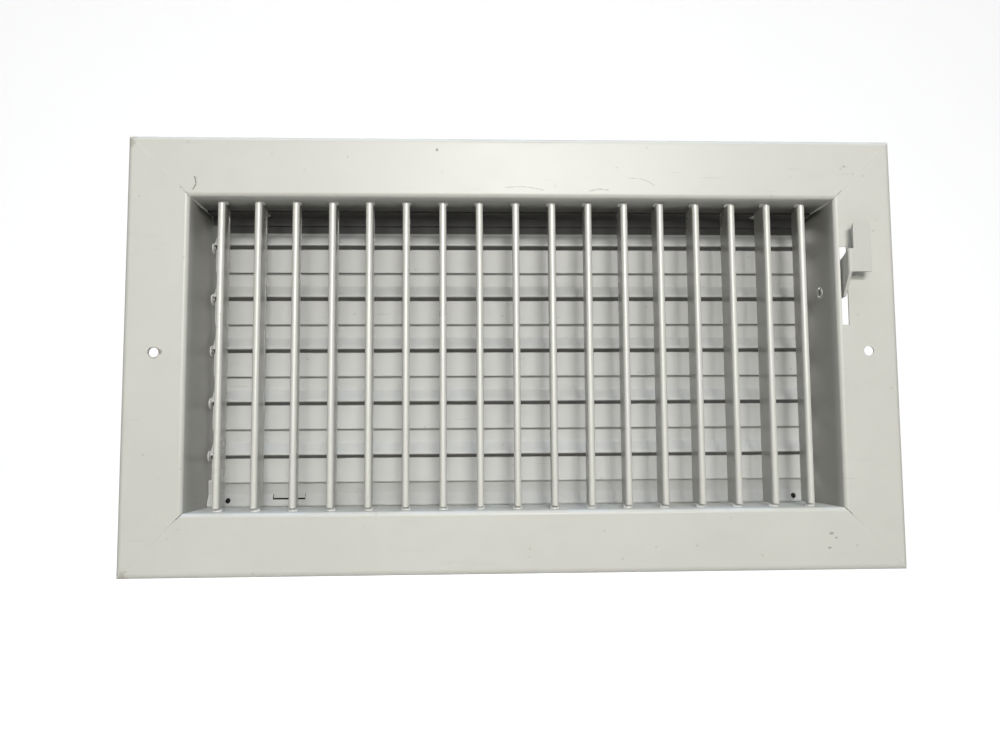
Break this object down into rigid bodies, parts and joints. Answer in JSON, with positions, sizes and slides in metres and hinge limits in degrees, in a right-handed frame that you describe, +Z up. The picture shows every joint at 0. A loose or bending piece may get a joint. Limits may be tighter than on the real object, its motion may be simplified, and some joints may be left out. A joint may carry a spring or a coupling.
{
  "type": "supply air register",
  "caption": "Wall supply register: mitred sheet-metal face, a row of upright hand-turned fins, and a lever-worked damper behind them.",
  "frame": {"origin": "middle of the face's front plane, halfway between the two wall screw holes", "axes": "+X to the right along the face, +Y back into the wall, +Z up"},
  "size_m": [0.3492, 0.0526, 0.1968],
  "materials": {
    "frame_paint": "satin off-white baked enamel",
    "fin_paint": "satin off-white baked enamel",
    "damper_paint": "satin off-white baked enamel",
    "zinc_steel": "bare galvanised sheet",
    "plated_steel": "zinc plated",
    "nylon": "natural cream nylon"
  },
  "bodies": {
    "frame": {"frame_top": "frame_paint", "frame_bottom": "frame_paint", "frame_left": "frame_paint", "frame_right": "frame_paint", "corner_gussets": "zinc_steel", "collar_corner_angles": "zinc_steel", "fin_bushes_top": "nylon", "fin_bushes_bottom": "nylon", "blade_bushes_left": "nylon", "blade_bushes_right": "nylon", "stop_strip_top": "damper_paint", "stop_strip_bottom": "damper_paint", "strip_rivets": "plated_steel", "lever_eyelet": "plated_steel", "lever_spacer": "plated_steel"},
    "fin_01": {"fin_01": "fin_paint"},
    "fin_02": {"fin_02": "fin_paint"},
    "fin_03": {"fin_03": "fin_paint"},
    "fin_04": {"fin_04": "fin_paint"},
    "fin_05": {"fin_05": "fin_paint"},
    "fin_06": {"fin_06": "fin_paint"},
    "fin_07": {"fin_07": "fin_paint"},
    "fin_08": {"fin_08": "fin_paint"},
    "fin_09": {"fin_09": "fin_paint"},
    "fin_10": {"fin_10": "fin_paint"},
    "fin_11": {"fin_11": "fin_paint"},
    "fin_12": {"fin_12": "fin_paint"},
    "fin_13": {"fin_13": "fin_paint"},
    "fin_14": {"fin_14": "fin_paint"},
    "fin_15": {"fin_15": "fin_paint"},
    "fin_16": {"fin_16": "fin_paint"},
    "fin_17": {"fin_17": "fin_paint"},
    "damper_blade_1": {"damper_blade_1": "damper_paint", "blade_pins_1": "plated_steel"},
    "damper_blade_2": {"damper_blade_2": "damper_paint", "blade_pins_2": "plated_steel", "lever_crank": "plated_steel", "drive_pin": "plated_steel"},
    "damper_blade_3": {"damper_blade_3": "damper_paint", "blade_pins_3": "plated_steel"},
    "damper_blade_4": {"damper_blade_4": "damper_paint", "blade_pins_4": "plated_steel"},
    "damper_blade_5": {"damper_blade_5": "damper_paint", "blade_pins_5": "plated_steel"},
    "tie_bar": {"tie_bar": "damper_paint", "tie_rivets": "plated_steel"},
    "lever": {"lever": "frame_paint"}
  },
  "joints": [
    {"name": "fin_01_turn", "type": "hinge", "parent": "frame", "child": "fin_01", "pos_m": [-0.1344, 0.0095, 0], "axis": [0, 0, 1], "range_deg": [-43.7, 36.3]},
    {"name": "fin_02_turn", "type": "hinge", "parent": "frame", "child": "fin_02", "pos_m": [-0.1176, 0.0095, 0], "axis": [0, 0, 1], "range_deg": [-40, 40]},
    {"name": "fin_03_turn", "type": "hinge", "parent": "frame", "child": "fin_03", "pos_m": [-0.1008, 0.0095, 0], "axis": [0, 0, 1], "range_deg": [-44.6, 35.4]},
    {"name": "fin_04_turn", "type": "hinge", "parent": "frame", "child": "fin_04", "pos_m": [-0.084, 0.0095, 0], "axis": [0, 0, 1], "range_deg": [-40, 40]},
    {"name": "fin_05_turn", "type": "hinge", "parent": "frame", "child": "fin_05", "pos_m": [-0.0672, 0.0095, 0], "axis": [0, 0, 1], "range_deg": [-40, 40]},
    {"name": "fin_06_turn", "type": "hinge", "parent": "frame", "child": "fin_06", "pos_m": [-0.0504, 0.0095, 0], "axis": [0, 0, 1], "range_deg": [-40, 40]},
    {"name": "fin_07_turn", "type": "hinge", "parent": "frame", "child": "fin_07", "pos_m": [-0.0336, 0.0095, 0], "axis": [0, 0, 1], "range_deg": [-40, 40]},
    {"name": "fin_08_turn", "type": "hinge", "parent": "frame", "child": "fin_08", "pos_m": [-0.0168, 0.0095, 0], "axis": [0, 0, 1], "range_deg": [-40, 40]},
    {"name": "fin_09_turn", "type": "hinge", "parent": "frame", "child": "fin_09", "pos_m": [0, 0.0095, 0], "axis": [0, 0, 1], "range_deg": [-40, 40]},
    {"name": "fin_10_turn", "type": "hinge", "parent": "frame", "child": "fin_10", "pos_m": [0.0168, 0.0095, 0], "axis": [0, 0, 1], "range_deg": [-40, 40]},
    {"name": "fin_11_turn", "type": "hinge", "parent": "frame", "child": "fin_11", "pos_m": [0.0336, 0.0095, 0], "axis": [0, 0, 1], "range_deg": [-40, 40]},
    {"name": "fin_12_turn", "type": "hinge", "parent": "frame", "child": "fin_12", "pos_m": [0.0504, 0.0095, 0], "axis": [0, 0, 1], "range_deg": [-40, 40]},
    {"name": "fin_13_turn", "type": "hinge", "parent": "frame", "child": "fin_13", "pos_m": [0.0672, 0.0095, 0], "axis": [0, 0, 1], "range_deg": [-40, 40]},
    {"name": "fin_14_turn", "type": "hinge", "parent": "frame", "child": "fin_14", "pos_m": [0.084, 0.0095, 0], "axis": [0, 0, 1], "range_deg": [-40, 40]},
    {"name": "fin_15_turn", "type": "hinge", "parent": "frame", "child": "fin_15", "pos_m": [0.1008, 0.0095, 0], "axis": [0, 0, 1], "range_deg": [-40, 40]},
    {"name": "fin_16_turn", "type": "hinge", "parent": "frame", "child": "fin_16", "pos_m": [0.1176, 0.0095, 0], "axis": [0, 0, 1], "range_deg": [-40, 40]},
    {"name": "fin_17_turn", "type": "hinge", "parent": "frame", "child": "fin_17", "pos_m": [0.1344, 0.0095, 0], "axis": [0, 0, 1], "range_deg": [-32, 48]},
    {"name": "lever_swing", "type": "hinge", "parent": "frame", "child": "lever", "pos_m": [0.15052, 0.0175, 0.0297], "axis": [1, 0, 0], "range_deg": [0, 30.53]},
    {"name": "damper_blade_1_turn", "type": "hinge", "parent": "frame", "child": "damper_blade_1", "pos_m": [0, 0.036, 0.0551], "axis": [-1, 0, 0], "range_deg": [0, 78.5]},
    {"name": "damper_blade_2_turn", "type": "hinge", "parent": "frame", "child": "damper_blade_2", "pos_m": [0, 0.036, 0.0297], "axis": [-1, 0, 0], "range_deg": [0, 78.5]},
    {"name": "damper_blade_3_turn", "type": "hinge", "parent": "frame", "child": "damper_blade_3", "pos_m": [0, 0.036, 0.0043], "axis": [-1, 0, 0], "range_deg": [0, 78.5]},
    {"name": "damper_blade_4_turn", "type": "hinge", "parent": "frame", "child": "damper_blade_4", "pos_m": [0, 0.036, -0.0211], "axis": [-1, 0, 0], "range_deg": [0, 78.5]},
    {"name": "damper_blade_5_turn", "type": "hinge", "parent": "frame", "child": "damper_blade_5", "pos_m": [0, 0.036, -0.0465], "axis": [-1, 0, 0], "range_deg": [0, 78.5]},
    {"name": "tie_bar_turn", "type": "hinge", "parent": "damper_blade_3", "child": "tie_bar", "pos_m": [0.14322, 0.04144, 0.0087], "axis": [-1, 0, 0], "range_deg": [-78.5, 0]}
  ],
  "couplings": [
    {"joint": "damper_blade_1_turn", "follows": "lever_swing", "ratio": 2.5548},
    {"joint": "damper_blade_2_turn", "follows": "lever_swing", "ratio": 2.5548},
    {"joint": "damper_blade_3_turn", "follows": "lever_swing", "ratio": 2.5548},
    {"joint": "damper_blade_4_turn", "follows": "lever_swing", "ratio": 2.5548},
    {"joint": "damper_blade_5_turn", "follows": "lever_swing", "ratio": 2.5548},
    {"joint": "tie_bar_turn", "follows": "lever_swing", "ratio": -2.5548}
  ]
}
